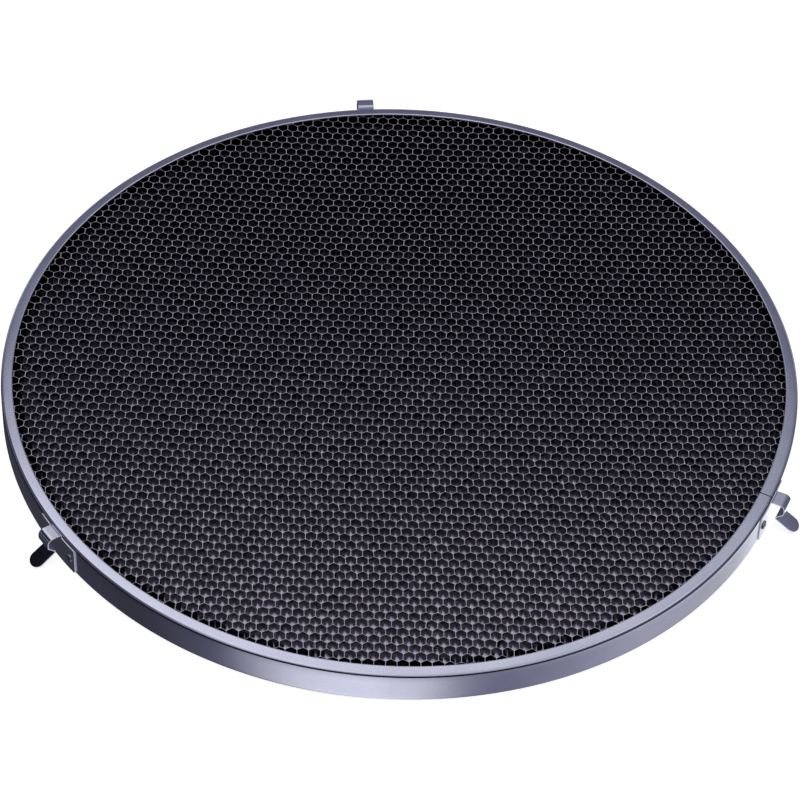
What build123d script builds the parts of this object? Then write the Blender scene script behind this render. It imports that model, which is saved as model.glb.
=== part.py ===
"""Round honeycomb grid for a large beauty dish: a rolled channel hoop holds a foil honeycomb core,
and three riveted spring clips hook over the dish's rolled lip.

Frame: millimetres, origin at the centre of the hoop's underside, +Z up through the grid, one clip on +Y.
"""
from build123d import *
import math
import os

# Hoop: a channel section rolled into a ring, open towards the core, with one butt joint
rim_radius = 275.0
rim_height = 24.8
sheet = 1.2
flange_width = 8.0
flange_rise = 0.7
outer_bend = 2.1
inner_bend = 0.9
seam_angle = 329.8
seam_gap = 0.6

# Honeycomb core: corrugated foil ribbons laid side by side
core_radius = 269.5
core_clearance = 0.5
core_lift = 0.4
cell_width = 15.0
row_spacing = 13.26
foil = 0.3
glue_line = 0.1
ribbon_angle = -7.1

# Joining plate inside the channel, bridging the butt joint
splice_thickness = 1.1
splice_length = 60.0
splice_height = 19.8
splice_gap = 0.1

# Spring clips: a leaf riveted to the hoop wall, carrying a hook with a finger tongue
clip_angles = {"back": 90.0, "left": 209.5, "right": 329.8}
clip_hands = {"back": 1, "left": 1, "right": -1}
clip_thickness = 0.8
clip_gap = 0.1
leaf_bottom = 1.0
leaf_top = 22.6
leaf_free_reach = 21.0
leaf_riveted_reach = 20.2
flex_line = 9.0
flex_gap = 0.6
leaf_corner = 1.5
tab_width = 11.6
hook_top = 26.0
hook_out = 286.3
hook_shoulder_z = 18.2
hook_notch = (280.8, 12.8)
tongue_tip = (296.2, 3.8)
hook_bends = (1.8, 4.2, 1.8, 0.9)

# Blind rivets through the leaf and the hoop wall
rivet_reach = 14.5
rivet_height = 12.0
rivet_shank = 1.6
rivet_head = 3.2
rivet_head_height = 1.25
rivet_tail = 2.4
rivet_tail_length = 1.5
mandrel_radius = 0.9
mandrel_head = 1.4
mandrel_head_length = 0.8
hole_clearance = 0.05


def side_plane(angle):
    """Upright plane through the hoop's axis: local X points outward at the angle, local Y points up."""
    turn = math.radians(angle)
    return Plane(
        origin=(0, 0, 0),
        x_dir=(math.cos(turn), math.sin(turn), 0),
        z_dir=(math.sin(turn), -math.cos(turn), 0),
    )


def wall_plane(angle, radius, height):
    """Plane lying against the hoop wall: local X runs around the hoop, local Z points outward."""
    turn = math.radians(angle)
    return Plane(
        origin=(radius * math.cos(turn), radius * math.sin(turn), height),
        x_dir=(-math.sin(turn), math.cos(turn), 0),
        z_dir=(math.cos(turn), math.sin(turn), 0),
    )


def arc_degrees(length):
    """Angle that a length of leaf covers on the hoop wall."""
    return math.degrees(length / rim_radius)


def rivet_angle(clip):
    """Angle of a clip's rivet around the hoop."""
    return clip_angles[clip] + clip_hands[clip] * arc_degrees(rivet_reach)


def rivet_grip_inside(clip):
    """Radius of the innermost sheet that a clip's rivet clamps."""
    wall_inside = rim_radius - sheet
    if clip == "right":
        return wall_inside - splice_gap - splice_thickness
    return wall_inside


flange_edge = rim_radius - flange_width
flange_slope = flange_rise / flange_width
leaf_inside = rim_radius + clip_gap
leaf_outside = leaf_inside + clip_thickness


# --- Hoop -------------------------------------------------------------------------------------
with BuildPart() as rim_channel:
    with BuildSketch(side_plane(seam_angle)) as channel_section:
        with BuildLine():
            Polyline(
                (flange_edge, 0),
                (rim_radius, 0),
                (rim_radius, rim_height),
                (flange_edge, rim_height + flange_rise),
                close=True,
            )
        make_face()
        fillet(channel_section.vertices().group_by(Axis.X)[-1], outer_bend)
        with BuildLine():
            Polyline(
                (flange_edge - sheet, sheet),
                (rim_radius - sheet, sheet),
                (rim_radius - sheet, rim_height + flange_slope * sheet - sheet),
                (flange_edge - sheet, rim_height + flange_rise + flange_slope * sheet - sheet),
                close=True,
            )
        make_face(mode=Mode.SUBTRACT)
        inside_corners = channel_section.vertices().filter_by_position(
            Axis.X, rim_radius - sheet - 0.01, rim_radius - sheet + 0.01
        )
        fillet(inside_corners, inner_bend)
    revolve(axis=Axis.Z, revolution_arc=360 - arc_degrees(seam_gap))
    for clip in clip_angles:
        with BuildSketch(wall_plane(rivet_angle(clip), rim_radius, rivet_height)):
            Circle(rivet_shank + hole_clearance)
        extrude(amount=2 * sheet, both=True, mode=Mode.SUBTRACT)
rim_channel.part.label = "rim_channel"

# --- Joining plate behind the butt joint --------------------------------------------------------
splice_outside = rim_radius - sheet - splice_gap
with BuildPart() as splice_plate:
    with BuildSketch(side_plane(seam_angle - arc_degrees(splice_length / 2))):
        with Locations((splice_outside - splice_thickness / 2, rim_height / 2)):
            Rectangle(splice_thickness, splice_height)
    revolve(axis=Axis.Z, revolution_arc=arc_degrees(splice_length))
    with BuildSketch(wall_plane(rivet_angle("right"), splice_outside, rivet_height)):
        Circle(rivet_shank + hole_clearance)
    extrude(amount=2 * splice_thickness, both=True, mode=Mode.SUBTRACT)
splice_plate.part.label = "splice_plate"

# --- Honeycomb core -------------------------------------------------------------------------------
core_bottom = sheet + core_clearance
core_depth = rim_height - 2 * sheet - 2 * core_clearance + core_lift


def ribbon_edge(ribbon, offset):
    """Corners of one side of a corrugated ribbon, running well past the core's edge at both ends."""
    middle = (ribbon + 0.5) * cell_width / 2
    swing = cell_width / 4 - foil / 2 - glue_line / 2
    rows = int(core_radius / row_spacing) + 2
    corners = []
    for row in range(-rows, rows + 1):
        side = 1 if (row + ribbon) % 2 else -1
        x = middle + side * swing + offset
        corners.append((x, (row - 1 / 3) * row_spacing))
        corners.append((x, (row + 1 / 3) * row_spacing))
    return corners


ribbons_each_side = int((core_radius - 3.0) / (cell_width / 2))
ribbon_solids = []
for ribbon in range(-ribbons_each_side, ribbons_each_side):
    with BuildPart() as foil_ribbon:
        with BuildSketch(Plane.XY.offset(core_bottom).rotated((0, 0, ribbon_angle))):
            with BuildLine():
                Polyline(*ribbon_edge(ribbon, foil / 2), *reversed(ribbon_edge(ribbon, -foil / 2)), close=True)
            make_face()
            Circle(core_radius, mode=Mode.INTERSECT)
        extrude(amount=core_depth)
    ribbon_solids.extend(foil_ribbon.solids())
honeycomb_core = Compound(label="honeycomb_core", children=ribbon_solids)


# --- Spring clips -----------------------------------------------------------------------------------
def leaf_end_edges(part, angle, reach):
    """The two short edges across the leaf's thickness at one end of a leaf."""
    end = wall_plane(angle + arc_degrees(reach), leaf_outside, (leaf_bottom + leaf_top) / 2).origin
    short = part.edges().filter_by(lambda edge: abs(edge.length - clip_thickness) < 0.02)
    return short.sort_by_distance(end)[0:2]


def clip_anchor(clip):
    """Riveted end of a spring clip, fixed to the hoop."""
    angle = clip_angles[clip]
    hand = clip_hands[clip]
    near = hand * (flex_line + flex_gap / 2)
    far = hand * leaf_riveted_reach
    with BuildPart() as anchor:
        with BuildSketch(side_plane(angle + arc_degrees(min(near, far)))):
            with Locations((leaf_inside + clip_thickness / 2, (leaf_bottom + leaf_top) / 2)):
                Rectangle(clip_thickness, leaf_top - leaf_bottom)
        revolve(axis=Axis.Z, revolution_arc=arc_degrees(abs(far - near)))
        fillet(leaf_end_edges(anchor, angle, far), leaf_corner)
        with BuildSketch(wall_plane(rivet_angle(clip), leaf_inside, rivet_height)):
            Circle(rivet_shank + hole_clearance)
        extrude(amount=2 * clip_thickness, both=True, mode=Mode.SUBTRACT)
    return anchor.part


def clip_hook(clip):
    """Free end of a spring clip: the leaf that lifts off the wall, the hook and the finger tongue."""
    angle = clip_angles[clip]
    hand = clip_hands[clip]
    near = hand * (flex_line - flex_gap / 2)
    far = -hand * leaf_free_reach
    with BuildPart() as hook:
        with BuildSketch(side_plane(angle + arc_degrees(min(near, far)))):
            with Locations((leaf_inside + clip_thickness / 2, (leaf_bottom + leaf_top) / 2)):
                Rectangle(clip_thickness, leaf_top - leaf_bottom)
        revolve(axis=Axis.Z, revolution_arc=arc_degrees(abs(far - near)))
        fillet(leaf_end_edges(hook, angle, far), leaf_corner)
        with BuildSketch(side_plane(angle)):
            with BuildLine():
                FilletPolyline(
                    (leaf_inside, leaf_top - 3),
                    (leaf_inside, hook_top),
                    (hook_out, hook_top),
                    (hook_out, hook_shoulder_z),
                    hook_notch,
                    tongue_tip,
                    radius=hook_bends,
                )
                offset(amount=clip_thickness, side=Side.RIGHT)
            make_face()
        extrude(amount=tab_width / 2, both=True)
        tip = side_plane(angle).from_local_coords(Vector(*tongue_tip))
        tip_corners = hook.edges().filter_by(lambda edge: abs(edge.length - clip_thickness) < 0.02)
        fillet(tip_corners.sort_by_distance(tip)[0:2], tab_width / 2 - 0.1)
    return hook.part


clip_back_anchor = clip_anchor("back")
clip_left_anchor = clip_anchor("left")
clip_right_anchor = clip_anchor("right")
clip_back_hook = clip_hook("back")
clip_left_hook = clip_hook("left")
clip_right_hook = clip_hook("right")


# --- Blind rivets -------------------------------------------------------------------------------------
def rivet_axis(clip):
    """Line along a rivet, pointing outward."""
    plane = wall_plane(rivet_angle(clip), rim_radius, rivet_height)
    return Axis(plane.origin, plane.z_dir)


rivet_solids = []
mandrel_solids = []
for clip in clip_angles:
    seat = leaf_outside + hole_clearance
    tail_start = rivet_grip_inside(clip) - hole_clearance
    tail_end = tail_start - rivet_tail_length
    bore = mandrel_radius + hole_clearance
    with BuildPart() as rivet_body:
        with BuildSketch(side_plane(rivet_angle(clip))):
            with BuildLine():
                Polyline(
                    (seat + rivet_head_height, rivet_height + bore + 0.35),
                    (seat + rivet_head_height, rivet_height + bore),
                    (tail_end, rivet_height + bore),
                    (tail_end, rivet_height + rivet_tail - 0.4),
                    (tail_end + 0.4, rivet_height + rivet_tail),
                    (tail_start, rivet_height + rivet_tail),
                    (tail_start, rivet_height + rivet_shank),
                    (seat, rivet_height + rivet_shank),
                    (seat, rivet_height + rivet_head),
                    (seat + 0.25, rivet_height + rivet_head),
                )
                ThreePointArc(
                    (seat + 0.25, rivet_height + rivet_head),
                    (seat + 0.92, rivet_height + 2.35),
                    (seat + rivet_head_height, rivet_height + bore + 0.35),
                )
            make_face()
        revolve(axis=rivet_axis(clip))
    rivet_solids.extend(rivet_body.solids())
    with BuildPart() as mandrel:
        with BuildSketch(wall_plane(rivet_angle(clip), tail_end - 0.05, rivet_height)):
            Circle(mandrel_head)
        extrude(amount=-mandrel_head_length)
        with BuildSketch(wall_plane(rivet_angle(clip), tail_end - 0.05, rivet_height)):
            Circle(mandrel_radius)
        extrude(amount=seat + 0.35 - tail_end)
    mandrel_solids.extend(mandrel.solids())
rivet_bodies = Compound(label="rivet_bodies", children=rivet_solids)
rivet_mandrels = Compound(label="rivet_mandrels", children=mandrel_solids)

# --- Files ----------------------------------------------------------------------------------------------
os.makedirs("parts", exist_ok=True)
export_step(rim_channel.part, "parts/rim_channel.step")
export_step(splice_plate.part, "parts/splice_plate.step")
export_step(honeycomb_core, "parts/honeycomb_core.step", write_pcurves=False)
export_step(rivet_bodies, "parts/rivet_bodies.step")
export_step(rivet_mandrels, "parts/rivet_mandrels.step")
for name, part in {
    "clip_back_anchor": clip_back_anchor,
    "clip_left_anchor": clip_left_anchor,
    "clip_right_anchor": clip_right_anchor,
    "clip_back_hook": clip_back_hook,
    "clip_left_hook": clip_left_hook,
    "clip_right_hook": clip_right_hook,
}.items():
    part.label = name
    export_step(part, "parts/" + name + ".step")
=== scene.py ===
import math

import bmesh
import bpy
import numpy as np
from mathutils import Matrix, Vector


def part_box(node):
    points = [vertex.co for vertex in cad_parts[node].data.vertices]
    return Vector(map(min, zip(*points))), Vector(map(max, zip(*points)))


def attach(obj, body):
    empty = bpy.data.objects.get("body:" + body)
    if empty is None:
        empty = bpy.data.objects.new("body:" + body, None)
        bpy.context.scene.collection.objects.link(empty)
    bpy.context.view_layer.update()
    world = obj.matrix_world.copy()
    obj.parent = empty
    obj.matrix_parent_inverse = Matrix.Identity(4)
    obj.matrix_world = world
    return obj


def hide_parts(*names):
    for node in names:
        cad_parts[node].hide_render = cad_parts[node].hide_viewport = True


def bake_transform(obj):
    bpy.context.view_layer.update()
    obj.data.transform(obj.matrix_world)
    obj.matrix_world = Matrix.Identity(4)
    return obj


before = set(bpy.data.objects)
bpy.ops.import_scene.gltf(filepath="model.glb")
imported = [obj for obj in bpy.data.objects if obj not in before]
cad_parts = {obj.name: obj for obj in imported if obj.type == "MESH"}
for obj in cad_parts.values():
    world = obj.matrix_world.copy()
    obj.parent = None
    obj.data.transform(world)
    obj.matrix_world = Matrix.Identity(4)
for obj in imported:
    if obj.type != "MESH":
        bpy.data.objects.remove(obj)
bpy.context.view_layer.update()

MM = 0.001

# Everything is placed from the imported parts. Lengths are in millimetres, angles around the hoop in degrees.
RIM_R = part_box("rim_channel")[1].x * 1000
RIM_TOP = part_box("rim_channel")[1].z * 1000
core_low, core_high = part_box("honeycomb_core")
CORE_BOTTOM = core_low.z * 1000
CORE_TOP = core_high.z * 1000
SHEET = 1.2  # thickness of the hoop's sheet
FLANGE = 8.0  # width of each flange
RISE = 0.7  # how far the upper flange climbs from the wall to its inner edge
BEND = 2.1  # outside radius of the hoop's two bends
SEAM = 329.8  # where the butt joint is
OUTER_TOP = RIM_TOP - RISE  # height of the upper flange at the wall
VIEW_TURN = math.radians(7.5)  # the scene is seen from this far to one side of the clip on +Y

# The hoop is a little flat beside its joint: the spot's middle, its width and its depth at the wall,
# and the further depth at the flange's inner edge.
FLAT_AT, FLAT_WIDTH, FLAT_DEPTH, FLAT_INNER = 332.0, 22.0, 2.2, 1.2


# ---------------------------------------------------------------- mesh helpers
def link_object(name, mesh):
    obj = bpy.data.objects.new(name, mesh)
    bpy.context.scene.collection.objects.link(obj)
    return obj


def shade_smooth(mesh, sharp):
    """Smooth shading with hard edges where faces meet at more than an angle in degrees."""
    mesh.polygons.foreach_set("use_smooth", np.ones(len(mesh.polygons), bool))
    mesh.set_sharp_from_angle(angle=math.radians(sharp))


def face_outwards(mesh, merge=None):
    """Turn all faces outwards, after merging vertices that are closer than a distance in metres."""
    bm = bmesh.new()
    bm.from_mesh(mesh)
    if merge:
        bmesh.ops.remove_doubles(bm, verts=bm.verts, dist=merge)
    bmesh.ops.recalc_face_normals(bm, faces=bm.faces)
    bm.to_mesh(mesh)
    bm.free()


def new_object(name, verts, faces, materials, face_material=None, sharp=40.0):
    """An object from vertices in millimetres."""
    mesh = bpy.data.meshes.new(name)
    mesh.from_pydata([tuple(v * MM for v in p) for p in verts], [], faces)
    for m in materials:
        mesh.materials.append(m)
    if face_material is not None:
        mesh.polygons.foreach_set("material_index", np.array(face_material, np.int32))
    shade_smooth(mesh, sharp)
    mesh.validate()
    mesh.update()
    return link_object(name, mesh)


def bake_modifiers(obj, sharp):
    """Replace an object's mesh by the result of its modifiers."""
    evaluated = obj.evaluated_get(bpy.context.evaluated_depsgraph_get())
    baked = bpy.data.meshes.new_from_object(evaluated)
    obj.modifiers.clear()
    obj.data = baked
    shade_smooth(baked, sharp)


def polar(radius, angle, z):
    return (radius * math.cos(angle), radius * math.sin(angle), z)


def in_metres(point):
    return tuple(v * MM for v in point)


def settled(radius, angle):
    """A radius on the hoop, smaller where the hoop runs a little flat beside its joint. Angle in radians."""
    off = (math.degrees(angle) - FLAT_AT + 180) % 360 - 180
    depth = FLAT_DEPTH + FLAT_INNER * min(1.0, max(0.0, (RIM_R - radius) / FLANGE))
    return radius - depth * math.exp(-((off / FLAT_WIDTH) ** 2))


def arc(cx, cy, radius, start, end, count):
    """Points along a circular arc, in degrees."""
    steps = [math.radians(start + (end - start) * k / count) for k in range(count + 1)]
    return [(cx + radius * math.cos(t), cy + radius * math.sin(t)) for t in steps]


def spread(start, end, count):
    """Evenly spaced values from start to end, both included."""
    return [start + (end - start) * k / count for k in range(count + 1)]


def rounded_corners(points, radii, step):
    """The points of an open polyline with its inner corners replaced by arcs."""
    out = [np.array(points[0], float)]
    for k in range(1, len(points) - 1):
        p = np.array(points[k], float)
        before = np.array(points[k - 1], float) - p
        after = np.array(points[k + 1], float) - p
        u, v = before / np.linalg.norm(before), after / np.linalg.norm(after)
        half = math.acos(max(-1, min(1, float(u @ v)))) / 2
        r = radii[k - 1]
        reach = r / math.tan(half)
        centre = p + (u + v) / np.linalg.norm(u + v) * r / math.sin(half)
        a, b = p + u * reach - centre, p + v * reach - centre
        turn = math.atan2(a[0] * b[1] - a[1] * b[0], a @ b)
        count = max(3, int(abs(turn) * r / step) + 2)
        for t in spread(0.0, turn, count):
            c, s = math.cos(t), math.sin(t)
            out.append(centre + np.array([a[0] * c - a[1] * s, a[0] * s + a[1] * c]))
    out.append(np.array(points[-1], float))
    return out


def rounded_path(points, radii, step=0.35, longest=1.0):
    """An open polyline with rounded inner corners, where no two points are further apart than a length."""
    corners = rounded_corners(points, radii, step)
    dense = [corners[0]]
    for p, q in zip(corners[:-1], corners[1:]):
        length = float(np.linalg.norm(q - p))
        if length < 1e-6:
            continue
        pieces = max(1, int(math.ceil(length / longest)))
        for i in range(1, pieces + 1):
            dense.append(p + (q - p) * i / pieces)
    return np.array(dense)


def shifted_corners(points, distance):
    """Corners of an open polyline moved to its right by a distance."""
    pts = [np.array(p, float) for p in points]
    dirs = [(b - a) / np.linalg.norm(b - a) for a, b in zip(pts[:-1], pts[1:])]
    rights = [np.array([d[1], -d[0]]) for d in dirs]
    out = [pts[0] + rights[0] * distance]
    for k in range(1, len(pts) - 1):
        n = rights[k - 1] + rights[k]
        out.append(pts[k] + n * distance / (1 + float(rights[k - 1] @ rights[k])))
    out.append(pts[-1] + rights[-1] * distance)
    return out


# ---------------------------------------------------------------- materials
class Nodes:
    """A small helper for writing node trees."""

    def __init__(self, tree):
        self.tree = tree
        tree.nodes.clear()

    def add(self, kind, inputs=None, **settings):
        """A new node. An input's value is a socket to link or a plain value."""
        node = self.tree.nodes.new(kind)
        for key, value in settings.items():
            setattr(node, key, value)
        for key, value in (inputs or {}).items():
            self.feed(node, key, value)
        return node

    def feed(self, node, key, value):
        if isinstance(value, bpy.types.NodeSocket):
            self.tree.links.new(value, node.inputs[key])
        else:
            node.inputs[key].default_value = value

    def math(self, operation, *values):
        return self.add("ShaderNodeMath", operation=operation, inputs=dict(enumerate(values))).outputs[0]

    def ramp(self, fac, stops):
        """A colour ramp. A stop is its position with a grey level or a colour."""
        node = self.add("ShaderNodeValToRGB", inputs={"Fac": fac})
        while len(node.color_ramp.elements) < len(stops):
            node.color_ramp.elements.new(0.5)
        for element, (at, colour) in zip(node.color_ramp.elements, stops):
            element.position = at
            element.color = (*colour, 1) if isinstance(colour, tuple) else (colour, colour, colour, 1)
        return node.outputs["Color"]

    def between(self, fac, low, high):
        """A value from low to high as the factor runs from 0 to 1."""
        return self.math("MULTIPLY_ADD", fac, high - low, low)

    def zero_to_one(self, value):
        """A value from -1 to 1 brought to a ramp's 0 to 1."""
        return self.math("MULTIPLY_ADD", value, 0.5, 0.5)

    def split(self, vector):
        return self.add("ShaderNodeSeparateXYZ", inputs={0: vector}).outputs

    def noise(self, vector, scale, detail, roughness=0.5):
        inputs = {"Vector": vector, "Scale": scale, "Detail": detail, "Roughness": roughness}
        return self.add("ShaderNodeTexNoise", inputs=inputs).outputs[0]

    def multiply_colours(self, first, second, amount=1.0):
        inputs = {0: amount, 6: first, 7: second}
        return self.add("ShaderNodeMix", data_type="RGBA", blend_type="MULTIPLY", inputs=inputs).outputs[2]

    def object_coordinates(self):
        return self.add("ShaderNodeTexCoord").outputs["Object"]


def principled(name):
    """A new material with its node tree and its shader."""
    material = bpy.data.materials.new(name)
    material.use_nodes = True
    n = Nodes(material.node_tree)
    shader = n.add("ShaderNodeBsdfPrincipled")
    n.add("ShaderNodeOutputMaterial", inputs={"Surface": shader.outputs[0]})
    return material, n, shader


def finish_metal(n, shader, colour, rough, metallic=1.0):
    for socket, value in (("Base Color", colour), ("Roughness", rough), ("Metallic", metallic)):
        n.feed(shader, socket, value)


def add_bump(n, shader, height, strength, distance=0.0002):
    bump = n.add("ShaderNodeBump", inputs={"Strength": strength, "Distance": distance, "Height": height})
    n.feed(shader, "Normal", bump.outputs[0])


def hoop_material():
    """Satin anodised aluminium with a faint lavender tint, finely brushed around the hoop."""
    material, n, shader = principled("hoop_satin_metal")
    coords = n.object_coordinates()
    x, y, z = n.split(coords)
    radius = n.math("SQRT", n.math("ADD", n.math("MULTIPLY", x, x), n.math("MULTIPLY", y, y)))
    # the brushing is long around the hoop and fine across it
    turn = n.math("MULTIPLY", n.math("ARCTAN2", y, x), 3.0)
    across = 2600.0
    brushed = n.add("ShaderNodeCombineXYZ", inputs={
        0: turn, 1: n.math("MULTIPLY", radius, across), 2: n.math("MULTIPLY", z, across)})
    grain = n.noise(brushed.outputs[0], 1.0, 3.0, 0.6)
    cloud = n.noise(coords, 26.0, 4.0, 0.55)
    fine = n.noise(coords, 900.0, 2.0, 0.6)
    tone = n.ramp(cloud, [
        (0.30, (0.560, 0.575, 0.735)), (0.55, (0.615, 0.630, 0.790)), (0.75, (0.660, 0.672, 0.825))])
    speck = n.ramp(fine, [(0.0, 0.90), (0.5, 1.0), (1.0, 1.05)])
    speckled = n.multiply_colours(tone, speck)
    # painted shade: the colour is darkened along the outer bend, between the flange and the wall, as a
    # painted shade line
    bend_low, bend_span = OUTER_TOP - BEND, 1.4
    rise_over_bend = n.math("DIVIDE", n.math("SUBTRACT", z, bend_low * MM), bend_span * MM)
    painted_bend_shade = n.ramp(rise_over_bend, [(0.0, 1.0), (0.12, 0.22), (0.86, 0.22), (1.0, 1.0)])
    near_wall = n.math("GREATER_THAN", radius, (RIM_R - 6.0) * MM)
    colour = n.multiply_colours(speckled, painted_bend_shade, near_wall)
    rough = n.math("ADD", n.between(cloud, 0.14, 0.22), n.between(grain, -0.015, 0.02))
    finish_metal(n, shader, colour, rough)
    add_bump(n, shader, n.math("ADD", n.math("MULTIPLY", grain, 0.12), n.math("MULTIPLY", fine, 0.88)), 0.10)
    return material


def foil_material():
    """Glossy black coating on aluminium foil. Its colour turns light towards the underside: a painted glow of
    light from below.
    """
    material, n, shader = principled("foil_black_coating")
    coords = n.object_coordinates()
    cell = n.noise(coords, 95.0, 2.0)
    streak_map = n.add("ShaderNodeMapping", inputs={"Vector": coords, "Scale": (900.0, 900.0, 60.0)})
    streak = n.noise(streak_map.outputs[0], 1.0, 3.0)
    depth = n.math("SUBTRACT", CORE_TOP * MM, n.split(coords)[2])
    uneven = n.math("MULTIPLY_ADD", n.math("SUBTRACT", cell, 0.5), 0.003, depth)
    # painted glow: the coating's colour is lightened with depth below the core's top, standing in for light
    # from below
    painted_glow_full_depth = 20.0
    painted_glow_fraction = n.math("MULTIPLY", uneven, 1 / (painted_glow_full_depth * MM))
    tone = n.ramp(painted_glow_fraction, [
        (0.0, (0.021, 0.019, 0.026)), (0.66, (0.024, 0.022, 0.029)), (0.735, (0.050, 0.048, 0.056)),
        (0.80, (0.26, 0.26, 0.28)), (0.87, (0.80, 0.80, 0.83))])
    finish_metal(n, shader, tone, n.between(streak, 0.10, 0.20))
    add_bump(n, shader, streak, 0.12)
    return material


def cut_edge_material():
    """The sawn edge of the foil, where bright metal shows through the coating."""
    material, n, shader = principled("foil_cut_edge")
    coords = n.object_coordinates()
    patch = n.noise(coords, 140.0, 3.0)
    fine = n.noise(coords, 1500.0, 2.0)
    tone = n.ramp(patch, [(0.30, (0.50, 0.49, 0.57)), (0.52, (0.68, 0.67, 0.76)), (0.75, (0.88, 0.87, 0.95))])
    finish_metal(n, shader, tone, n.between(fine, 0.45, 0.65), 0.6)
    return material


def clip_material():
    """Smooth lavender-grey plated spring steel, clouded in broad patches."""
    material, n, shader = principled("clip_plated_steel")
    coords = n.object_coordinates()
    patch = n.noise(coords, 120.0, 4.0, 0.6)
    fine = n.noise(coords, 1400.0, 2.0)
    tone = n.ramp(patch, [
        (0.30, (0.560, 0.570, 0.715)), (0.55, (0.610, 0.620, 0.765)), (0.80, (0.660, 0.670, 0.810))])
    finish_metal(n, shader, tone, n.between(patch, 0.07, 0.15))
    add_bump(n, shader, fine, 0.06, 0.0001)
    return material


def clip_edge_material():
    """The sheared edges of the clips, rubbed back to bare metal."""
    material, n, shader = principled("clip_bare_edge")
    fine = n.noise(n.object_coordinates(), 700.0, 3.0)
    tone = n.ramp(fine, [(0.3, (0.86, 0.86, 0.92)), (0.7, (0.98, 0.98, 1.0))])
    finish_metal(n, shader, tone, n.between(fine, 0.30, 0.45), 0.5)
    return material


def rivet_material():
    """The dark, smooth metal of the blind rivets."""
    material, n, shader = principled("rivet_dark_metal")
    patch = n.noise(n.object_coordinates(), 420.0, 3.0)
    tone = n.ramp(patch, [(0.35, (0.30, 0.30, 0.35)), (0.65, (0.44, 0.44, 0.50))])
    finish_metal(n, shader, tone, n.between(patch, 0.12, 0.24))
    return material


def plain_metal(name, tone, rough):
    """A patchy metal for the pieces that can't be seen from outside."""
    material, n, shader = principled(name)
    patch = n.noise(n.object_coordinates(), 300.0, 3.0)
    colour = n.ramp(patch, [(0.3, tuple(c * 0.85 for c in tone)), (0.7, tuple(c * 1.1 for c in tone))])
    finish_metal(n, shader, colour, n.between(patch, rough - 0.06, rough + 0.08))
    return material


# ---------------------------------------------------------------- hoop
def hoop_section():
    """The outline of the rolled sheet as (radius, height), first its outside and then its inside."""
    inner = RIM_R - FLANGE
    slope = RISE / FLANGE
    tilt = math.degrees(math.atan(slope))
    bend_x = RIM_R - BEND
    bend_z = OUTER_TOP + slope * BEND - BEND / math.cos(math.radians(tilt))
    round_r = 0.25
    half_way = 11.0
    # lower flange edge, lower bend, wall, upper bend, upper flange
    section = arc(inner + round_r, round_r, round_r, 180, 270, 3)
    section += [(inner + 2.5, 0.0), (inner + 5.0, 0.0)]
    section += arc(bend_x, BEND, BEND, 270, 360, 9)
    section += [(RIM_R, 5.0), (RIM_R + 0.02, half_way), (RIM_R, 17.0)]
    section += arc(bend_x, bend_z, BEND, 0, 90 - tilt, 9)
    section += [(RIM_R - 4.0, OUTER_TOP + slope * 4.0)]
    # the flange's inner lip is slightly rolled, and ends in a smaller round
    lip, lip_r, lip_end = inner + 0.95, 1.2, 116
    lip_z = OUTER_TOP + slope * (RIM_R - lip)
    turn = math.radians(90 - tilt)
    section += arc(lip - lip_r * math.cos(turn), lip_z - lip_r * math.sin(turn), lip_r, 90 - tilt, lip_end, 6)
    edge_x, edge_z = section[-1]
    edge_r = 0.38
    turn = math.radians(lip_end - 180)
    centre = (edge_x + edge_r * math.cos(turn), edge_z + edge_r * math.sin(turn))
    section += arc(*centre, edge_r, lip_end, 180, 4)[1:]
    # inside of the sheet, from the upper flange's edge back to the lower one's
    under_x, under_z = section[-1]
    straight = 3.5
    section += [(under_x, under_z - 0.35), (under_x + 0.12, under_z - 0.62)]
    section += [(inner + straight, OUTER_TOP - SHEET + slope * (FLANGE - straight))]
    section += arc(bend_x, bend_z, BEND - SHEET, 90 - tilt, 0, 4)
    section += [(RIM_R - SHEET, half_way)]
    section += arc(bend_x, BEND, BEND - SHEET, 360, 270, 4)
    section += [(inner + straight, SHEET)]
    section += arc(inner + round_r, SHEET - round_r, round_r, 90, 180, 3)
    return section


def wander(a):
    """The sheet isn't perfectly true: a very slight change of (radius, height) around the hoop."""
    dr = 0.03 * math.sin(2 * a + 1.3) + 0.02 * math.sin(5 * a)
    dz = 0.035 * math.sin(3 * a + 0.7) + 0.025 * math.sin(7 * a + 2.1) + 0.015 * math.sin(17 * a)
    return dr, dz


def build_hoop():
    """The rolled channel, swept once around the ring with a fine gap at its butt joint."""
    section = hoop_section()
    count = 720
    gap = 0.75 / RIM_R
    start = math.radians(SEAM) + gap / 2
    sweep = 2 * math.pi - gap
    verts, faces = [], []
    for k in range(count + 1):
        a = start + sweep * k / count
        dr, dz = wander(a)
        for r, z in section:
            verts.append(polar(settled(r + dr, a), a, z + dz * z / RIM_TOP))
    m = len(section)
    for k in range(count):
        for i in range(m):
            j = (i + 1) % m
            faces.append((k * m + i, k * m + j, (k + 1) * m + j, (k + 1) * m + i))
    faces.append(tuple(range(m - 1, -1, -1)))
    faces.append(tuple(count * m + i for i in range(m)))
    hoop = new_object("channel_hoop", verts, faces, [hoop_material()], sharp=35)
    face_outwards(hoop.data)
    return hoop


hoop = build_hoop()
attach(hoop, "rim")
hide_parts("rim_channel")


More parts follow.
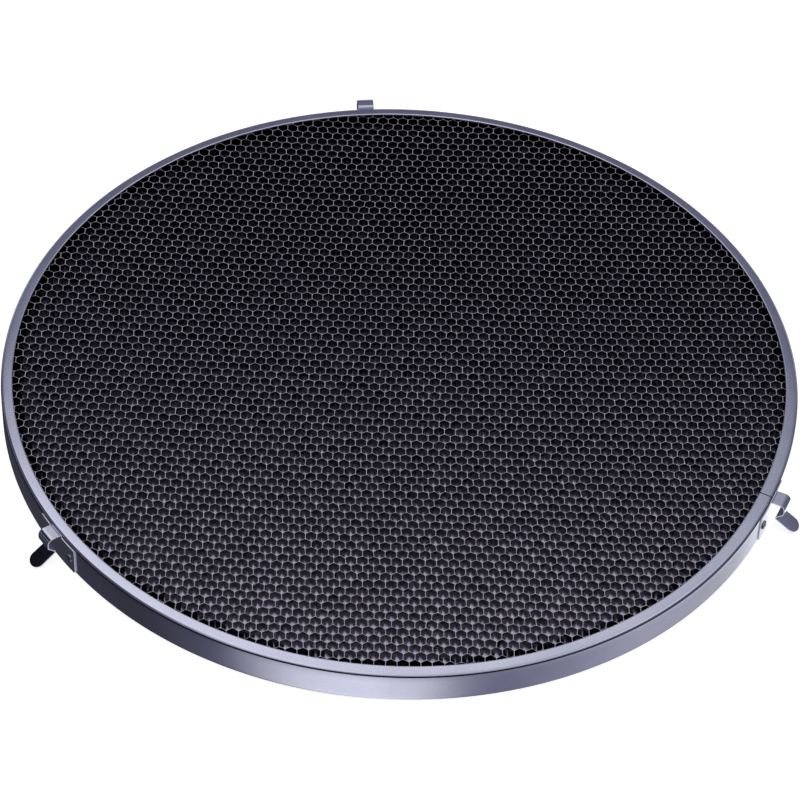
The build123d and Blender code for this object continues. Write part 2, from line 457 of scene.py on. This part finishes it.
# ---------------------------------------------------------------- honeycomb core
PITCH, ROW = 7.50, 6.63  # from cell to cell in a row, and from row to row
CLIMB, SKEW = 0.05, 0.18  # how far each next cell sits higher, and each next row further over
FIRST_CELL = (2.3, -23.5)
STEPS = 62  # cells each way from the first one, enough to cover the core
CORE_EDGE = 269.8  # corners further out are drawn in to this radius
CORE_REACH = 272.0  # a cell is kept when its middle is inside this radius
HALF_SINGLE, HALF_DOUBLE = 0.10, 0.16  # half the thickness of a single and of a bonded wall
CHAMFER = 0.42  # how far a cell's corner is cut back along each wall
BELOW_TOP = 0.1  # the cut edges' mean depth below the core's top
SCATTER, LEAN, LIFT = 0.17, 0.16, 0.06  # spread of corner places, of their lean and of their height
COATED, CUT = 0, 1  # the core's two materials

# A cell's corners, as (family, di, dj) from the cell's own place, and what lies across each of its walls,
# as (di, dj, that cell's wall). Walls 2 and 5 are the bonded ones.
CORNERS = [(0, 0, 0), (1, 0, 0), (0, -1, 0), (1, -1, 1), (0, -1, 1), (1, 0, 1)]
NEIGHBOURS = [(1, -1, 3), (0, -1, 4), (-1, 0, 5), (-1, 1, 0), (0, 1, 1), (1, 0, 2)]
HALF = [HALF_SINGLE, HALF_SINGLE, HALF_DOUBLE] * 2
# The three cells around a corner of each family, as ((di, dj), that cell's corner).
AROUND = {0: [((0, 0), 0), ((1, 0), 2), ((1, -1), 4)],
          1: [((0, 0), 1), ((1, -1), 3), ((0, -1), 5)]}


def stretched(x, y):
    """Handling has stretched the sheet: rows bow back at both ends and columns bow to one side."""
    bowed_x = x + (3.5 * (y / RIM_R) ** 2 - 1.4) + 0.5 * np.sin(y / 31 + 1.0) + 0.35 * np.sin(x / 47 + y / 60)
    bowed_y = y + (5.4 * (x / RIM_R) ** 2 - 1.5) + 0.4 * np.sin(x / 38 + 0.4) + 0.35 * np.sin(y / 52 - x / 44)
    return bowed_x, bowed_y


def drawn_in(points):
    """Points outside the core's edge, moved straight in to it."""
    r = np.linalg.norm(points, axis=-1, keepdims=True)
    return points * np.minimum(1.0, CORE_EDGE / np.maximum(r, 1e-9))


class Foil:
    """The honeycomb while its mesh is put together. Every cell is a hexagonal hole between foil walls."""

    def __init__(self):
        rng = np.random.default_rng(11)
        size = 2 * STEPS + 1
        steps = np.arange(-STEPS, STEPS + 1)
        ii, jj = np.meshgrid(steps, steps, indexing="ij")
        along_row, next_row = np.array([PITCH, CLIMB]), np.array([PITCH / 2 + SKEW, -ROW])
        lattice = np.array(FIRST_CELL) + ii[..., None] * along_row + jj[..., None] * next_row
        cx, cy = stretched(lattice[..., 0], lattice[..., 1])
        c, s = math.cos(-VIEW_TURN), math.sin(-VIEW_TURN)
        middles = np.stack([cx * c - cy * s, cx * s + cy * c], -1)
        right, up = np.roll(middles, -1, 0), np.roll(middles, 1, 1)
        upright = np.roll(right, 1, 1)
        first, second = (middles + right + upright) / 3, (middles + upright + up) / 3
        first += rng.normal(0, SCATTER, first.shape)
        second += rng.normal(0, SCATTER, second.shape)
        self.families = (drawn_in(first), drawn_in(second))
        self.lean = rng.normal(0, LEAN, (2, *first.shape))
        self.lift = rng.normal(0, LIFT, (2, size, size))
        self.inside = np.linalg.norm(middles, axis=-1) < CORE_REACH
        self.inside[0, :] = self.inside[-1, :] = self.inside[:, 0] = self.inside[:, -1] = False
        self.cells = [(int(i), int(j)) for i, j in zip(*np.nonzero(self.inside))]
        self.verts, self.faces, self.materials = [], [], []
        # a cell's corner has two vertices at the top and one at the bottom
        self.top_a, self.top_b, self.low = {}, {}, {}
        self.middles_of_walls = {}

    def vert(self, xy, z):
        self.verts.append((xy[0], xy[1], z))
        return len(self.verts) - 1

    def face(self, corners, material):
        self.faces.append(tuple(corners))
        self.materials.append(material)

    def top_of(self, key):
        return CORE_TOP - BELOW_TOP + self.lift[key]

    def wall_middle(self, key):
        """A corner's own top and bottom vertices, in the middle of the foil, made when first asked for."""
        if key not in self.middles_of_walls:
            family, i, j = key
            p = self.families[family][i, j]
            top = self.vert(p, self.top_of(key))
            self.middles_of_walls[key] = (top, self.vert(p + self.lean[key], CORE_BOTTOM))
        return self.middles_of_walls[key]

    def add_corner(self, cell, k, key, around):
        """The vertices of one cell's corner: previous, own and next corner are in around."""
        before, own, after = around
        prev_d, next_d = own - before, after - own
        prev_len, next_len = np.linalg.norm(prev_d), np.linalg.norm(next_d)
        prev_d, next_d = prev_d / max(prev_len, 1e-6), next_d / max(next_len, 1e-6)
        n1, n2 = np.array([-prev_d[1], prev_d[0]]), np.array([-next_d[1], next_d[0]])
        h1, h2 = HALF[k - 1], HALF[k]
        cross = n1[0] * n2[1] - n1[1] * n2[0]
        if abs(cross) < 0.25:
            move = (n1 + n2) / np.linalg.norm(n1 + n2) * max(h1, h2)
        else:
            move = np.array([h1 * n2[1] - h2 * n1[1], n1[0] * h2 - n2[0] * h1]) / cross
        corner = own + move
        z = self.top_of(key)
        self.top_a[(*cell, k)] = self.vert(corner - prev_d * min(CHAMFER, 0.3 * prev_len), z)
        self.top_b[(*cell, k)] = self.vert(corner + next_d * min(CHAMFER, 0.3 * next_len), z)
        self.low[(*cell, k)] = self.vert(own + self.lean[key] + move, CORE_BOTTOM)

    def add_cell(self, cell):
        """The inner faces of a cell: a wall and a chamfered corner, six times."""
        i, j = cell
        keys = [(family, i + di, j + dj) for family, di, dj in CORNERS]
        points = [self.families[key[0]][key[1:]] for key in keys]
        for k in range(6):
            self.add_corner(cell, k, keys[k], (points[k - 1], points[k], points[(k + 1) % 6]))
        for k in range(6):
            here, following = (i, j, k), (i, j, (k + 1) % 6)
            self.face((self.top_a[here], self.top_b[here], self.low[here]), COATED)
            self.face((self.top_b[here], self.top_a[following], self.low[following], self.low[here]), COATED)

    def cap_wall(self, cell, k):
        """The top and bottom edges of a cell's wall, and its back where there is no cell across it."""
        i, j = cell
        here, following = (i, j, k), (i, j, (k + 1) % 6)
        di, dj, back = NEIGHBOURS[k]
        other = (i + di, j + dj)
        if self.inside[other]:
            if k in (0, 1, 5):  # each shared wall is capped once
                far, near = (*other, (back + 1) % 6), (*other, back)
                self.face((self.top_b[here], self.top_a[far], self.top_b[near], self.top_a[following]), CUT)
                self.face((self.low[here], self.low[following], self.low[near], self.low[far]), CUT)
            return
        ends = [CORNERS[k], CORNERS[(k + 1) % 6]]
        (t1, b1), (t2, b2) = [self.wall_middle((family, i + p, j + q)) for family, p, q in ends]
        self.face((self.top_b[here], t1, t2, self.top_a[following]), CUT)
        self.face((self.low[here], self.low[following], b2, b1), CUT)
        self.face((t1, b1, b2, t2), COATED)

    def cap_joint(self, key):
        """The small top and bottom faces where three walls meet."""
        family, i, j = key
        around = [((i + di, j + dj), k) for (di, dj), k in AROUND[family]]
        present = [self.inside[cell] for cell, _ in around]
        top, bottom, gap_done = [], [], False
        for (cell, k), here in zip(around, present):
            if here:
                top += [self.top_b[(*cell, k)], self.top_a[(*cell, k)]]
                bottom.append(self.low[(*cell, k)])
            elif not gap_done or present.count(True) == 2:
                middle_top, middle_bottom = self.wall_middle(key)
                top.append(middle_top)
                bottom.append(middle_bottom)
                gap_done = True
        self.face(top, CUT)
        self.face(reversed(bottom), CUT)


def build_core():
    """The expanded foil honeycomb, as one mesh."""
    foil = Foil()
    for cell in foil.cells:
        foil.add_cell(cell)
    for cell in foil.cells:
        for k in range(6):
            foil.cap_wall(cell, k)
    joints = {(family, i + di, j + dj) for i, j in foil.cells for family, di, dj in CORNERS}
    for key in sorted(joints):
        foil.cap_joint(key)
    looks = [foil_material(), cut_edge_material()]
    return new_object("honeycomb_foil", foil.verts, foil.faces, looks, foil.materials, sharp=50)


core = build_core()
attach(core, "rim")
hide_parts("honeycomb_core")


# ---------------------------------------------------------------- spring clips
CLIPS = {"back": (90.0, 1), "left": (209.5, 1), "right": (329.8, -1)}  # place and hand
LEAF_IN = RIM_R + 0.1  # the leaf's inside, just off the wall
THICK = 0.8
LEAF_LOW, LEAF_HIGH = 1.0, 22.6
FREE, RIVETED, TAB = 21.0, 20.2, 11.6  # the leaf's reach to each side of the tab, and the tab's width
LEAF_CORNER, FLARE, TIP_R = 1.8, 0.9, TAB / 2
RIVET_AT, RIVET_Z = 14.5, 12.0
# The strip's outside from the leaf's foot, up, out, down into the hook and out along the finger tongue.
HOOK_TOP, HOOK_OUT = 26.0, RIM_R + 11.3
OUTER_PATH = [(LEAF_IN, LEAF_LOW), (LEAF_IN, HOOK_TOP), (HOOK_OUT, HOOK_TOP), (HOOK_OUT, 18.2),
              (RIM_R + 5.8, 12.8), (RIM_R + 21.2, 3.8)]
BEND_RADII = [1.4, 3.8, 1.4, 1.3]


def eased(count):
    """Values from 0 to 1 that are closer together at both ends."""
    return [0.5 - 0.5 * math.cos(math.pi * k / count) for k in range(count + 1)]


def corner_drop(distance, radius):
    """How far a rounded corner has cut in, at a distance from its end."""
    if distance >= radius:
        return 0.0
    return radius - math.sqrt(max(0.0, radius**2 - (radius - distance) ** 2))


def flare_lost(distance):
    """How much of the flare at the tab's root is gone, at a distance above the leaf's edge."""
    if distance <= 0:
        return 0.0
    return math.sqrt(max(0.0, FLARE**2 - (FLARE - distance) ** 2))


def corner_steps(radius, count):
    return [radius * (1 - math.cos(math.pi / 2 * k / count)) for k in range(count + 1)]


class ClipStrip:
    """The middle surface of one clip: s runs around the hoop from the tab, t along the strip."""

    def __init__(self, angle, hand):
        self.angle, self.hand = math.radians(angle), hand
        self.path = rounded_path(shifted_corners(OUTER_PATH, THICK / 2), BEND_RADII)
        lengths = np.linalg.norm(np.diff(self.path, axis=0), axis=1)
        self.along = np.concatenate([[0], np.cumsum(lengths)])
        self.total = self.along[-1]
        self.verts, self.faces, self.index = [], [], {}

    def place(self, s, t):
        r = np.interp(t, self.along, self.path[:, 0])
        z = np.interp(t, self.along, self.path[:, 1])
        turn = self.angle + self.hand * s / RIM_R
        return polar(r + settled(RIM_R, turn) - RIM_R, turn, z)

    def vert(self, s, t):
        key = (round(s, 4), round(t, 4))
        if key not in self.index:
            self.index[key] = len(self.verts)
            self.verts.append(self.place(s, t))
        return self.index[key]

    def add_leaf(self, tab_cols):
        """The leaf with its rounded corners. Its riveted side is at positive s."""
        steps = corner_steps(LEAF_CORNER, 6)
        left = [-FREE + c for c in steps]
        right = [RIVETED - c for c in reversed(steps)]
        cols = left + spread(left[-1], tab_cols[0], 8) + tab_cols + spread(tab_cols[-1], right[0], 12) + right
        grid = []
        for s in sorted(set(round(c, 5) for c in cols)):
            inset = corner_drop(min(s + FREE, RIVETED - s), LEAF_CORNER)
            low, high = inset, LEAF_HIGH - LEAF_LOW - inset
            grid.append([self.vert(s, low + (high - low) * v) for v in eased(14)])
        for p, q in zip(grid[:-1], grid[1:]):
            for k in range(len(p) - 1):
                self.faces.append((p[k], q[k], q[k + 1], p[k + 1]))

    def half_width(self, t):
        """Half the tab's width: flared where it leaves the leaf, and round at the tip of the tongue."""
        root = LEAF_HIGH - LEAF_LOW
        if t < root + FLARE:
            return TAB / 2 + FLARE - flare_lost(t - root)
        if t > self.total - TIP_R:
            return max(0.12, math.sqrt(max(0.0, TIP_R**2 - (t - self.total + TIP_R) ** 2)))
        return TAB / 2

    def add_tab(self, tab_cols):
        """Rows climb from the leaf's top edge, over the hook and down the tongue."""
        root = LEAF_HIGH - LEAF_LOW
        rows = [root + step for step in corner_steps(FLARE, 5)]
        tip = self.total - TIP_R
        rows += [t for t in self.along if rows[-1] + 0.15 < t < tip - 0.1]
        rows += [tip + TIP_R * math.sin(math.pi / 2 * k / 10) for k in range(11)]
        previous = None
        for t in rows:
            scale = self.half_width(t) / (TAB / 2 + FLARE)
            row = [self.vert(round(c, 5) * scale, t) for c in tab_cols]
            if previous is not None:
                for k in range(len(row) - 1):
                    self.faces.append((previous[k], previous[k + 1], row[k + 1], row[k]))
            previous = row


def give_thickness(obj, thickness):
    solid = obj.modifiers.new("thickness", "SOLIDIFY")
    solid.thickness = thickness * MM
    solid.offset = 0.0
    return solid


def soften_edges(obj, width):
    bevel = obj.modifiers.new("edges", "BEVEL")
    bevel.width = width * MM
    bevel.segments = 2
    bevel.limit_method = "ANGLE"
    return bevel


def build_clip(name, angle, hand, looks):
    """One bent strip: a curved leaf against the hoop wall, and a hook that ends in a finger tongue."""
    strip = ClipStrip(angle, hand)
    widest = TAB / 2 + FLARE
    tab_cols = [-widest + 2 * widest * u for u in eased(12)]
    strip.add_leaf(tab_cols)
    strip.add_tab(tab_cols)
    mesh = bpy.data.meshes.new(name)
    mesh.from_pydata([in_metres(p) for p in strip.verts], [], strip.faces)
    face_outwards(mesh, merge=1e-7)
    for look in looks:
        mesh.materials.append(look)
    obj = link_object(name, mesh)
    solid = give_thickness(obj, THICK)
    solid.use_even_offset = True
    solid.material_offset_rim = 1
    bevel = soften_edges(obj, 0.12)
    bevel.angle_limit = math.radians(50)
    bevel.material = 0
    bake_modifiers(obj, sharp=60)
    return obj


clip_looks = [clip_material(), clip_edge_material()]
for clip, (angle, hand) in CLIPS.items():
    obj = build_clip("spring_clip_" + clip, angle, hand, clip_looks)
    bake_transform(obj)
    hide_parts("clip_" + clip + "_anchor", "clip_" + clip + "_hook")


# ---------------------------------------------------------------- rivets
SEGMENTS = 56
HEAD_R, BORE, SHANK_R = 3.2, 0.95, 1.6
PLATE, PLATE_GAP = 1.1, 0.1  # the joining plate's thickness and its distance from the wall


def lathe(profile, origin, axis):
    """Vertices and faces of a profile of (distance along the axis, radius), turned about the axis."""
    axis = Vector(axis).normalized()
    side = Vector((0, 0, 1)).cross(axis).normalized()
    up = axis.cross(side)
    verts, faces = [], []
    for along_axis, r in profile:
        for k in range(SEGMENTS):
            t = 2 * math.pi * k / SEGMENTS
            p = Vector(origin) + axis * along_axis + (side * math.cos(t) + up * math.sin(t)) * r
            verts.append(tuple(p))
    for i in range(len(profile) - 1):
        here, following = i * SEGMENTS, (i + 1) * SEGMENTS
        for k in range(SEGMENTS):
            m = (k + 1) % SEGMENTS
            faces.append((here + k, following + k, following + m, here + m))
    return verts, faces


def turned_piece(name, parts, material, closed):
    """One mesh of turned shapes, each given as (profile, origin, axis), with flat ends if closed."""
    verts, faces = [], []
    for profile, origin, axis in parts:
        v, f = lathe(profile, origin, axis)
        base = len(verts)
        verts += v
        faces += [tuple(base + i for i in face) for face in f]
        if closed:
            faces.append(tuple(base + i for i in range(SEGMENTS)))
            faces.append(tuple(base + len(v) - SEGMENTS + i for i in reversed(range(SEGMENTS))))
    obj = new_object(name, verts, faces, [material], sharp=35)
    face_outwards(obj.data)
    return obj


def rivet_profile(seat, inside, tail):
    """A blind rivet: domed head on the leaf, open bore, and a tail that is swollen behind the wall."""
    profile = [(seat, SHANK_R), (seat, 3.05), (seat + 0.06, 3.17)]
    for k in range(13):
        t = math.pi / 2 * k / 12
        radius = HEAD_R - (HEAD_R - BORE - 0.30) * (1 - math.cos(t))
        profile.append((seat + 0.28 + 0.97 * math.sin(t), radius))
    profile += [(seat + 1.25, BORE + 0.12), (seat + 1.14, BORE), (tail, BORE)]
    profile += [(tail, 2.0), (tail + 0.12, 2.2), (tail + 0.45, 2.4)]
    profile += [(inside - 0.1, 2.4), (inside, 2.3), (inside, SHANK_R), (seat, SHANK_R)]
    return profile


def stem_profile(seat, tail):
    """The broken stem left in the rivet, with its head beyond the tail."""
    return [(tail - 0.85, 1.1), (tail - 0.80, 1.35), (tail - 0.25, 1.4), (tail - 0.06, 1.2),
            (tail - 0.05, 0.9), (seat + 0.28, 0.9), (seat + 0.36, 0.8)]


rivets, stems = [], []
for clip, (angle, hand) in CLIPS.items():
    turn = math.radians(angle) + hand * RIVET_AT / RIM_R
    placed = ((0, 0, RIVET_Z), (math.cos(turn), math.sin(turn), 0))
    sink = settled(RIM_R, turn) - RIM_R
    seat = LEAF_IN + THICK + 0.05 + sink
    # only the right clip's rivet goes through the joining plate
    inside = RIM_R - SHEET - 0.05 - (PLATE + PLATE_GAP if clip == "right" else 0.0) + sink
    tail = inside - 1.5
    rivets.append((rivet_profile(seat, inside, tail), *placed))
    stems.append((stem_profile(seat, tail), *placed))

rivet_heads = turned_piece("blind_rivets", rivets, rivet_material(), closed=False)
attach(rivet_heads, "rim")
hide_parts("rivet_bodies")
stem_metal = plain_metal("stem_steel", (0.34, 0.34, 0.35), 0.35)
mandrels = turned_piece("rivet_stems", stems, stem_metal, closed=True)
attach(mandrels, "rim")
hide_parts("rivet_mandrels")


# ---------------------------------------------------------------- joining plate
def build_plate():
    """The joining plate, a curved strip with rounded corners lying against the inside of the wall."""
    half_long, low, high, corner = 30.0, 2.5, 22.3, 2.0
    rows = 8
    ends = [half_long - step for step in corner_steps(corner, 5)]
    straight = spread(-half_long + corner, half_long - corner, 20)[1:-1]
    cols = sorted([-s for s in ends] + straight + ends)
    verts, faces = [], []
    for s in cols:
        inset = corner_drop(half_long - abs(s), corner)
        turn = math.radians(SEAM) + s / RIM_R
        r = settled(RIM_R, turn) - SHEET - PLATE_GAP - PLATE / 2
        verts += [in_metres(polar(r, turn, z)) for z in spread(low + inset, high - inset, rows)]
    for c in range(len(cols) - 1):
        here, following = c * (rows + 1), (c + 1) * (rows + 1)
        for k in range(rows):
            faces.append((here + k, following + k, following + k + 1, here + k + 1))
    mesh = bpy.data.meshes.new("joining_plate")
    mesh.from_pydata(verts, [], faces)
    mesh.materials.append(plain_metal("splice_mill_metal", (0.55, 0.55, 0.58), 0.42))
    obj = link_object("joining_plate", mesh)
    give_thickness(obj, PLATE)
    soften_edges(obj, 0.15)
    bake_modifiers(obj, sharp=50)
    return obj


plate = build_plate()
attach(plate, "rim")
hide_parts("splice_plate")


# ---------------------------------------------------------------- floor and light
def build_floor():
    """A pale floor that is clear from underneath, so that the underside of the grid can be seen."""
    half, below = 30.0, -0.0003
    corners = [(-half, -half, below), (half, -half, below), (half, half, below), (-half, half, below)]
    mesh = bpy.data.meshes.new("floor")
    mesh.from_pydata(corners, [], [(0, 1, 2, 3)])
    floor = link_object("floor", mesh)
    material, n, shader = principled("pale_floor")
    looks = {"Base Color": (0.9, 0.9, 0.9, 1), "Roughness": 0.9, "Specular IOR Level": 0.0,
             "Emission Color": (1, 1, 1, 1), "Emission Strength": 0.75}
    for socket, value in looks.items():
        n.feed(shader, socket, value)
    backfacing = n.add("ShaderNodeNewGeometry").outputs["Backfacing"]
    clear = n.add("ShaderNodeBsdfTransparent").outputs[0]
    surface = n.add("ShaderNodeMixShader", inputs={0: backfacing, 1: shader.outputs[0], 2: clear})
    output = next(node for node in n.tree.nodes if node.type == "OUTPUT_MATERIAL")
    n.feed(output, "Surface", surface.outputs[0])
    mesh.materials.append(material)
    floor.visible_glossy = False


def build_light_table():
    """A hidden disc that glows up through the cells from underneath."""
    radius, height, count = 262.0, 0.2, 96
    ring = [in_metres(polar(radius, 2 * math.pi * k / count, height)) for k in range(count)]
    mesh = bpy.data.meshes.new("light_table")
    mesh.from_pydata(ring, [], [tuple(range(count))])
    table = link_object("light_table", mesh)
    material = bpy.data.materials.new("light_table")
    material.use_nodes = True
    n = Nodes(material.node_tree)
    geometry = n.add("ShaderNodeNewGeometry")
    steepness = n.split(geometry.outputs["Incoming"])[2]
    # the light leaves at a slant, so that the cells don't burn out when seen from straight above
    slanted = n.ramp(steepness, [(0.30, 0.2), (0.55, 1.0), (0.83, 1.0), (0.93, 0.05)])
    upwards = n.math("SUBTRACT", 1.0, geometry.outputs["Backfacing"])
    strength = n.math("MULTIPLY", n.math("MULTIPLY", slanted, upwards), 16.0)
    glow = n.add("ShaderNodeEmission", inputs={"Color": (1.0, 0.98, 1.04, 1), "Strength": strength})
    n.add("ShaderNodeOutputMaterial", inputs={"Surface": glow.outputs[0]})
    mesh.materials.append(material)
    table.visible_camera = False
    table.visible_diffuse = False
    table.visible_shadow = False


def main_lights(n, wx, wy, wz):
    """The strong lights: those below the horizon, which the hoop's wall reflects, and those above it."""
    overhead = n.ramp(wz, [
        (0.40, 0.02), (0.50, 0.13), (0.65, 0.15), (0.715, 0.40), (0.755, 0.78), (0.80, 0.92), (0.92, 0.85)])
    sideways = n.ramp(n.zero_to_one(wx), [
        (0.16, 0.06), (0.35, 1.25), (0.50, 1.0), (0.61, 0.70), (0.68, 0.66), (0.86, 1.6)])
    low_band = n.ramp(wz, [(0.45, 0.0), (0.55, 0.055), (0.69, 0.055), (0.74, 0.0)])
    low_right = n.math("MULTIPLY", low_band, n.ramp(wx, [(0.0, 0.0), (0.10, 1.0)]))
    upper = n.math("ADD", n.math("MULTIPLY", overhead, sideways), low_right)
    above = n.math("MULTIPLY", upper, n.math("GREATER_THAN", wz, 0.0))
    # heading: 0 and 1 = left, 0.25 = towards the viewer, 0.5 = right, 0.75 = away
    heading = n.math("ADD", n.math("DIVIDE", n.math("ARCTAN2", wy, wx), 2 * math.pi), 0.5)
    around = n.ramp(heading, [
        (0.036, 0.045), (0.111, 0.13), (0.138, 0.45), (0.165, 0.85), (0.205, 1.10),
        (0.235, 1.15), (0.262, 1.0), (0.285, 0.80), (0.311, 0.36), (0.335, 0.13),
        (0.365, 0.15), (0.433, 0.25), (0.50, 0.33), (0.55, 0.36), (0.60, 0.45),
        (0.645, 1.0), (0.692, 1.5), (0.722, 1.5), (0.76, 0.9), (0.80, 0.05)])
    down = n.math("MULTIPLY", wz, -1.0)
    steep = n.ramp(down, [(0.0, 0.01), (0.66, 0.03), (0.735, 1.0)])
    shallow = n.ramp(down, [(0.0, 0.01), (0.54, 0.05), (0.62, 1.9), (0.70, 1.9), (0.735, 1.0)])
    side = n.ramp(wx, [(0.28, 0.0), (0.42, 1.0)])
    from_below = n.add("ShaderNodeMix", data_type="FLOAT", inputs={0: side, 2: steep, 3: shallow}).outputs[0]
    return n.math("MULTIPLY", around, from_below), above


def weak_lights(n, wx, wy, wz):
    """What lights the directions that the main lights leave dark. The brightest of them counts."""
    skyline = n.ramp(n.zero_to_one(wx), [(0.52, 0.010), (0.62, 0.05), (0.80, 0.14)])
    horizon = n.ramp(n.zero_to_one(wz), [(0.42, 0.0), (0.46, 1.0), (0.62, 1.0), (0.68, 0.0)])
    backdrop = n.math("MULTIPLY", horizon, n.ramp(wy, [(0.62, 0.0), (0.82, 1.0)]))
    # a softer light from the viewer's side, for the views from behind
    towards_viewer = n.ramp(n.math("MULTIPLY", wy, -1.0), [(0.30, 0.0), (0.60, 1.0)])
    fill = n.math("MULTIPLY", n.ramp(wz, [(0.30, 0.0), (0.46, 0.55)]), towards_viewer)
    # two bands all around, above and below the horizon, for low views from any side
    band_up = n.ramp(wz, [(0.10, 0.0), (0.20, 0.22), (0.38, 0.22), (0.48, 0.0)])
    band_down = n.ramp(n.math("MULTIPLY", wz, -1.0), [(0.12, 0.0), (0.22, 0.17), (0.42, 0.17), (0.54, 0.0)])
    brightest = skyline
    for light in (backdrop, fill, band_up, band_down):
        brightest = n.math("MAXIMUM", brightest, light)
    return brightest


def build_world():
    """A studio that only reflections and lighting see. The camera sees plain white."""
    world = bpy.data.worlds.new("studio")
    bpy.context.scene.world = world
    world.use_nodes = True
    n = Nodes(world.node_tree)
    direction = n.add("ShaderNodeTexCoord").outputs["Generated"]
    turned = n.add("ShaderNodeVectorRotate", rotation_type="Z_AXIS",
                   inputs={"Vector": direction, "Angle": VIEW_TURN})
    wx, wy, wz = n.split(turned.outputs[0])
    below, above = main_lights(n, wx, wy, wz)
    level = n.math("ADD", below, n.math("MAXIMUM", weak_lights(n, wx, wy, wz), above))
    seen = n.add("ShaderNodeLightPath").outputs["Is Camera Ray"]
    strength = n.math("ADD", n.math("MULTIPLY", level, n.math("SUBTRACT", 1.0, seen)), seen)
    # dim light is lavender and bright light is white
    cast = n.ramp(strength, [
        (0.0, (0.80, 0.77, 1.40)), (0.03, (0.95, 0.91, 1.14)), (0.15, (0.93, 0.94, 1.22)), (0.55, 1.0)])
    background = n.add("ShaderNodeBackground", inputs={"Color": cast, "Strength": strength})
    n.add("ShaderNodeOutputWorld", inputs={"Surface": background.outputs[0]})


build_floor()
build_light_table()
build_world()

# ---------------------------------------------------------------- camera
# Seen from 2.2 m away, 45.6 degrees up and rolled by 2.7 degrees.
ELEVATION = math.radians(45.606)
YAW = math.radians(-0.039)
ROLL = math.radians(2.737)
STANDS_AT = (1.2, -1579.9, 1581.8 + OUTER_TOP)
LENS = 145.7


def place_camera():
    data = bpy.data.cameras.new("camera")
    data.sensor_width = 36.0
    data.lens = LENS
    data.clip_start = 0.05
    data.clip_end = 200
    camera = link_object("camera", data)
    level = math.cos(ELEVATION)
    forward = Vector((math.sin(YAW) * level, math.cos(YAW) * level, -math.sin(ELEVATION)))
    right = Vector((math.cos(YAW), -math.sin(YAW), 0))
    up = right.cross(forward)
    rolled_right = right * math.cos(ROLL) + up * math.sin(ROLL)
    rolled_up = up * math.cos(ROLL) - right * math.sin(ROLL)
    turn_back = Matrix.Rotation(-VIEW_TURN, 3, "Z")
    rotation = turn_back @ Matrix((rolled_right, rolled_up, -forward)).transposed()
    where = turn_back @ Vector(in_metres(STANDS_AT))
    camera.matrix_world = Matrix.Translation(where) @ rotation.to_4x4()
    bpy.context.scene.camera = camera


place_camera()
bpy.context.scene.view_settings.view_transform = "Standard"
